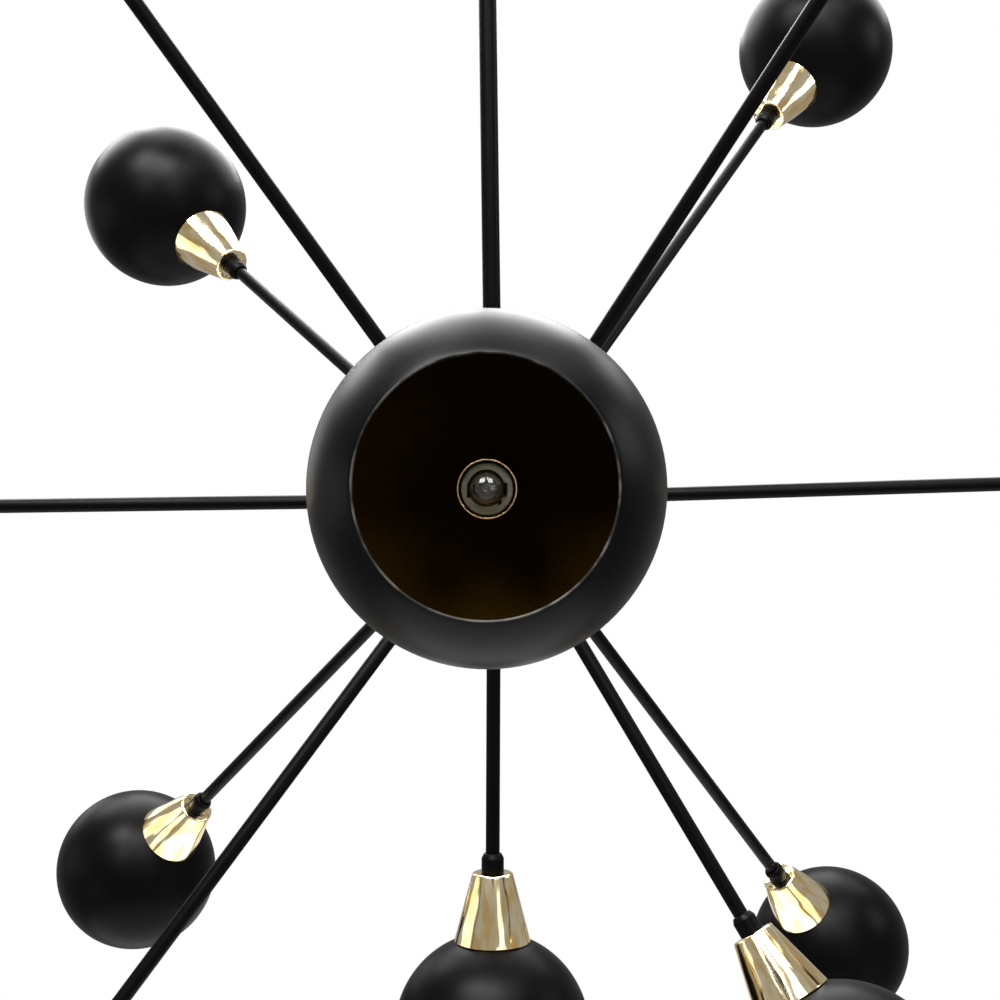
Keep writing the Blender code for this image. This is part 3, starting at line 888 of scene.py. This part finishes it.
def hub_meshes():
    """Fine ball with a hole for each arm, and the domed lid that carries the stem."""
    inner = HUB_RADIUS - HUB_WALL
    outer_angle = math.asin(HUB_MOUTH_RADIUS / HUB_RADIUS)
    inner_angle = math.asin((HUB_MOUTH_RADIUS - HUB_MOUTH_LIP) / inner)
    outline = arc(inner, math.pi, inner_angle, 40) + arc(HUB_RADIUS, outer_angle, math.pi, 40)
    outline[0] = (0.0, -inner)
    outline[-1] = (0.0, -HUB_RADIUS)
    ball = turned("hub_ball", outline, SIDES, closed=False)
    holes = []
    for joint in sorted(PULLS):
        light = joint[len("bulb_pull_"):]
        hole = turned("hole", [
            (0.0, HUB_RADIUS * 0.7), (SOCKET_RADIUS, HUB_RADIUS * 0.7),
            (SOCKET_RADIUS, HUB_RADIUS * 1.3), (0.0, HUB_RADIUS * 1.3),
        ], 36, closed=False)
        hole.transform(light_matrix(light, 0.0).to_3x3().to_4x4())
        holes.append(hole)
    ball = carved("hub_ball", ball, holes, 0.0003)
    seat = math.sqrt(HUB_RADIUS ** 2 - HUB_MOUTH_RADIUS ** 2) + GAP
    bore = STEM_RADIUS + GAP / 2.0
    spigot = HUB_MOUTH_RADIUS - HUB_MOUTH_LIP - 2.0 * GAP
    dome = arc(HUB_RADIUS + GAP, math.asin(bore / HUB_RADIUS), math.asin(HUB_MOUTH_RADIUS / HUB_RADIUS), 16)
    lid = [(bore, seat - CAP_SPIGOT_DEPTH)] + dome
    lid += [(spigot, seat), (spigot, seat - CAP_SPIGOT_DEPTH)]
    radii = [0.0003, 0.0004] + [0.0] * (len(dome) - 2) + [0.0004, 0.0001, 0.0004]
    return ball, turned("hub_lid", fillet(lid, radii), SIDES)


def rod(name, radius, low, high, sides=40, soften=0.0003):
    outline = fillet([(0.0, high), (radius, high), (radius, low), (0.0, low)], soften, closed=False)
    return turned(name, outline, sides, closed=False)


def across_x(mesh, drop, shift=0.0):
    """Lay a mesh turned round Z along X instead, at `drop` below the ceiling."""
    mesh.transform(Matrix.Translation((shift, 0.0, -drop)) @ Matrix.Rotation(math.pi / 2.0, 4, "Y"))
    return mesh


def block(name, size, centre):
    """Plain box used only as a cutter."""
    half = [value / 2.0 for value in size]
    outline = [(-half[0], -half[1]), (half[0], -half[1]), (half[0], half[1]), (-half[0], half[1])]
    mesh = prism(name, outline, -half[2], half[2])
    mesh.transform(Matrix.Translation(centre))
    return mesh


def fork_mesh():
    """Upper half of the knuckle: spigot over two cheeks, with the slot and the pin's hole."""
    top = -STRAP_THICKNESS - 2.0 * GAP
    outline = [
        (0.0, FORK_END),
        (FORK_RADIUS * 0.7, FORK_END),
        (FORK_RADIUS, FORK_END + FORK_RADIUS * 0.35),
        (FORK_RADIUS, FORK_TOP),
        (FORK_SPIGOT_RADIUS, FORK_TOP),
        (FORK_SPIGOT_RADIUS, top),
        (0.0, top),
    ]
    radii = [0.0, 0.001, 0.002, 0.0006, 0.0004, 0.0004, 0.0]
    body = turned("fork", fillet(outline, radii, closed=False), SIDES, closed=False)
    slot = block("slot", (SLOT_WIDTH, 0.05, 0.06), (0.0, 0.0, SLOT_TOP - 0.03))
    hole = across_x(rod("hole", PIN_RADIUS + GAP, -0.02, 0.02, soften=0.0), PIN_DROP)
    return carved("knuckle_fork", body, [slot, hole], 0.0003)


def eye_mesh():
    """Lower half of the knuckle: round-topped tongue on the socket that takes the stem."""
    bore = STEM_RADIUS + GAP / 2.0
    outline = [
        (0.0, EYE_TOP),
        (EYE_RADIUS, EYE_TOP),
        (EYE_RADIUS, EYE_END),
        (bore, EYE_END),
        (bore, STEM_TOP + GAP),
        (0.0, STEM_TOP + GAP),
    ]
    radii = [0.0, 0.0012, 0.0006, 0.0003, 0.0, 0.0]
    socket = turned("socket", fillet(outline, radii, closed=False), SIDES, closed=False)
    half = TONGUE_WIDTH / 2.0
    flat = [(-half, EYE_TOP - 0.0015)]
    for step in range(29):
        turn = math.pi - math.pi * step / 28
        flat.append((half * math.cos(turn), -PIN_DROP + half * math.sin(turn)))
    flat += [(half, EYE_TOP - 0.0015)]
    tongue = prism("tongue", flat, -TONGUE_THICKNESS / 2.0, TONGUE_THICKNESS / 2.0)
    tongue.transform(Matrix(((0, 0, 1, 0), (1, 0, 0, 0), (0, 1, 0, 0), (0, 0, 0, 1))))
    hole = across_x(rod("hole", PIN_RADIUS + GAP, -0.02, 0.02, soften=0.0), PIN_DROP)
    return carved("knuckle_eye", socket, [hole], 0.0003, [tongue])


def bracket_mesh():
    """Steel strap with bent ears, the knuckle's boss, two ceiling slots and the ears' holes."""
    half = STRAP_LENGTH / 2.0
    inner = half - STRAP_THICKNESS
    outline = [
        (-half, 0.0), (half, 0.0), (half, -EAR_DROP), (inner, -EAR_DROP),
        (inner, -STRAP_THICKNESS), (-inner, -STRAP_THICKNESS), (-inner, -EAR_DROP), (-half, -EAR_DROP),
    ]
    radii = [0.0022, 0.0022, 0.0005, 0.0005, 0.0012, 0.0012, 0.0005, 0.0005]
    strap = prism("strap", fillet(outline, radii), -STRAP_WIDTH / 2.0, STRAP_WIDTH / 2.0)
    strap.transform(Matrix.Rotation(math.pi / 2.0, 4, "X"))
    bore = FORK_SPIGOT_RADIUS + GAP
    boss = turned("boss", [
        (0.0, -STRAP_THICKNESS / 2.0), (BOSS_RADIUS, -STRAP_THICKNESS / 2.0), (BOSS_RADIUS, -BOSS_DROP),
        (bore, -BOSS_DROP), (bore, -STRAP_THICKNESS - GAP), (0.0, -STRAP_THICKNESS - GAP),
    ], SIDES, closed=False)
    cutters = []
    for side in (-1.0, 1.0):
        height = CEILING_SLOT_RADIUS * 2.0
        slot = slot_outline(height + 0.006, height, (0.0, 0.0), CEILING_SLOT_RADIUS * 0.99)
        hole = prism("ceiling_slot", slot, -0.01, 0.01)
        hole.transform(Matrix.Translation((side * CEILING_SLOT_SPACING / 2.0, 0.0, 0.0)))
        cutters.append(hole)
        ear_hole = rod("ear_hole", EAR_HOLE_RADIUS, -0.01, 0.01, soften=0.0)
        cutters.append(across_x(ear_hole, EAR_HOLE_DROP, side * half))
    return carved("ceiling_strap", strap, cutters, 0.00025, [boss])


def canopy_mesh():
    """Shallow spun cover with a soft corner, a rolled hole and the two screw holes."""
    floor = -CANOPY_DEPTH
    inner = CANOPY_RADIUS - CANOPY_SHEET
    top = -2.0 * GAP
    outline = [
        (CANOPY_RADIUS, top),
        (CANOPY_RADIUS, floor),
        (CANOPY_HOLE_RADIUS, floor),
        (CANOPY_HOLE_RADIUS, floor + CANOPY_SHEET),
        (inner, floor + CANOPY_SHEET),
        (inner, top),
    ]
    radii = [0.0004, 0.0034, 0.0006, 0.0005, 0.0020, 0.0004]
    cover = turned("canopy", fillet(outline, radii), FINE_SIDES)
    cutters = [
        across_x(rod("hole", EAR_HOLE_RADIUS, -0.01, 0.01, soften=0.0), EAR_HOLE_DROP, side * CANOPY_RADIUS)
        for side in (-1.0, 1.0)
    ]
    return carved("canopy_cover", cover, cutters, 0.0)


def screw_mesh():
    """Round-headed brass screw with a cross recess and a threaded shank."""
    shank = CANOPY_RADIUS - STRAP_LENGTH / 2.0 + STRAP_THICKNESS * 2.0
    outline = [(0.0, 2.0 * SCREW_RADIUS)]
    for step in range(1, 9):
        turn = math.radians(88.0) * step / 8
        height = GAP + 0.0004 + (2.0 * SCREW_RADIUS - GAP - 0.0004) * math.cos(turn)
        outline.append((SCREW_HEAD_RADIUS * math.sin(turn), height))
    outline += [(SCREW_HEAD_RADIUS, GAP), (SCREW_RADIUS, GAP)]
    height = -0.0006
    pitch = SCREW_THREAD_PITCH
    while height > -shank + pitch:
        outline.append((SCREW_RADIUS, height))
        outline.append((SCREW_RADIUS - 0.0003, height - pitch / 2.0))
        height -= pitch
    outline += [(SCREW_RADIUS * 0.8, -shank), (0.0, -shank)]
    body = turned("screw", outline, 48, closed=False)
    sizes = ((0.0052, 0.0009, 0.0026), (0.0009, 0.0052, 0.0026))
    bars = [block("recess", size, (0.0, 0.0, 2.0 * SCREW_RADIUS)) for size in sizes]
    return carved("canopy_screw", body, bars, 0.0)


def build_body():
    still = Matrix.Identity(4)
    at_hub = Matrix.Translation(HUB)
    ball, lid = hub_meshes()
    place("hub_ball", ball, SHADE_COAT, at_hub, "chandelier", "black_powder_coat", "hub_body")
    place("hub_lid", lid, SHADE_COAT, at_hub, "chandelier", "black_powder_coat", "hub_cap")
    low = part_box("stem")[0].z
    tube = [(STEM_RADIUS, STEM_TOP), (STEM_RADIUS, low), (STEM_BORE, low), (STEM_BORE, STEM_TOP)]
    stem = turned("stem_tube", fillet(tube, 0.0003), SIDES)
    place("stem_tube", stem, ARM_COAT, still, "chandelier", "black_powder_coat", "stem")
    place("knuckle_fork", fork_mesh(), ARM_COAT, still, "knuckle", "black_powder_coat", "swivel_fork")
    half = FORK_RADIUS - GAP * 3.0
    pin = across_x(rod("knuckle_pin", PIN_RADIUS, -half, half, soften=0.0005), PIN_DROP)
    place("knuckle_pin", pin, ZINC, still, "knuckle", "zinc_steel", "swivel_pin")
    place("knuckle_eye", eye_mesh(), ARM_COAT, still, "chandelier", "black_powder_coat", "swivel_eye")
    place("ceiling_strap", bracket_mesh(), YELLOW_ZINC, still, "ceiling", "zinc_steel", "ceiling_bracket")
    place("canopy_cover", canopy_mesh(), CANOPY_COAT, still, "ceiling", "black_powder_coat", "canopy")
    screw = screw_mesh()
    for word, side in (("left", -1.0), ("right", 1.0)):
        spot = Matrix.Translation((side * CANOPY_RADIUS, 0.0, -EAR_HOLE_DROP))
        spot = spot @ Matrix.Rotation(side * math.pi / 2.0, 4, "Y")
        place("cover_screw_" + word, screw, SLEEVE_BRASS, spot, "ceiling", "polished_brass",
              "canopy_screw_" + word)


# ---------------------------------------------------------------- studio

def softbox(name, azimuth, elevation, radiance, width=SOFTBOX_SIZE, height=SOFTBOX_SIZE):
    """Studio light aimed at the hub, not seen itself; degrees round from the front and up."""
    turn = math.radians(azimuth)
    rise = math.radians(elevation)
    level = math.cos(rise)
    away = Vector((math.sin(turn) * level, -math.cos(turn) * level, math.sin(rise)))
    lamp = bpy.data.lights.new(name, "AREA")
    lamp.shape = "RECTANGLE"
    lamp.size = width
    lamp.size_y = height
    lamp.energy = radiance * math.pi * width * height
    item = bpy.data.objects.new(name, lamp)
    bpy.context.scene.collection.objects.link(item)
    spin = away.to_track_quat("Z", "Y").to_matrix().to_4x4()
    item.matrix_world = Matrix.Translation(HUB + away * SOFTBOX_DISTANCE) @ spin
    item.visible_camera = False


def studio():
    """Pale floor, soft lights and a white surround that lights the object only dimly.

    The lights' brightness was fitted to the photograph's tones, then rounded and changed.
    """
    under = -FLOOR_DROP - FLOOR_THICKNESS
    rings = [(0.0, -FLOOR_DROP), (FLOOR_RADIUS, -FLOOR_DROP), (FLOOR_RADIUS, under), (0.0, under)]
    floor = bpy.data.objects.new("studio_floor", turned("studio_floor", rings, 128, closed=False))
    floor.data.materials.append(studio_floor_paint())
    bpy.context.scene.collection.objects.link(floor)
    softbox("top_front", 0.0, 58.0, 40.0)
    softbox("top_front_left", -45.0, 58.0, 42.0)
    softbox("top_front_right", 45.0, 58.0, 12.0)
    softbox("front_left", -20.0, 33.0, 13.0)
    softbox("front_right", 20.0, 33.0, 10.0)
    softbox("right", 90.0, 20.0, 5.0)
    softbox("left", -90.0, 0.0, 1.2, 1.6)
    softbox("top_right", 90.0, 60.0, 2.5)
    softbox("back_top", 180.0, 66.0, 4.0, 1.4)
    softbox("back_top_left", -140.0, 68.0, 4.0)
    softbox("back_top_right", 140.0, 68.0, 2.0)
    softbox("back", 180.0, 40.0, 9.5, 1.8, 1.3)
    softbox("back_left", -138.0, 40.0, 9.0, 1.1, 1.1)
    softbox("back_right", 138.0, 40.0, 4.5, 1.1, 1.1)
    softbox("back_left_level", -140.0, 12.0, 2.0)
    softbox("front_low_left", -62.0, -25.0, 1.2)
    softbox("front_low_right", 62.0, -28.0, 1.2)
    softbox("front_level", 28.0, 2.0, 1.4)
    softbox("back_low", 180.0, -30.0, 0.6)
    world = bpy.data.worlds.new("studio_world")
    bpy.context.scene.world = world
    world.use_nodes = True
    tree = world.node_tree
    tree.nodes.clear()
    out = tree.nodes.new("ShaderNodeOutputWorld")
    seen = tree.nodes.new("ShaderNodeBackground")
    seen.inputs["Color"].default_value = WHITE
    dim = tree.nodes.new("ShaderNodeBackground")
    dim.inputs["Color"].default_value = WHITE
    dim.inputs["Strength"].default_value = SURROUND_STRENGTH
    path = tree.nodes.new("ShaderNodeLightPath")
    mix = tree.nodes.new("ShaderNodeMixShader")
    tree.links.new(path.outputs["Is Camera Ray"], mix.inputs["Fac"])
    tree.links.new(dim.outputs["Background"], mix.inputs[1])
    tree.links.new(seen.outputs["Background"], mix.inputs[2])
    tree.links.new(mix.outputs["Shader"], out.inputs["Surface"])


def camera():
    """Level view from the front, about 1.2 m away, turned slightly about its own axis."""
    lens = bpy.data.cameras.new("studio_camera")
    lens.lens = LENS_MM
    lens.sensor_width = SENSOR_MM
    lens.clip_start = 0.01
    item = bpy.data.objects.new("studio_camera", lens)
    bpy.context.scene.collection.objects.link(item)
    item.matrix_world = (
        Matrix.Translation(HUB + Vector(CAMERA_FROM_HUB))
        @ Matrix.Rotation(math.radians(CAMERA_PAN), 4, "Z")
        @ Matrix.Rotation(math.radians(CAMERA_PITCH), 4, "X")
        @ Matrix.Rotation(math.radians(CAMERA_ROLL), 4, "Y")
        @ Matrix.Rotation(math.pi / 2.0, 4, "X")
    )
    bpy.context.scene.camera = item


build_lights()
build_body()
studio()
camera()
bpy.context.scene.view_settings.view_transform = "Standard"
bpy.context.view_layer.update()
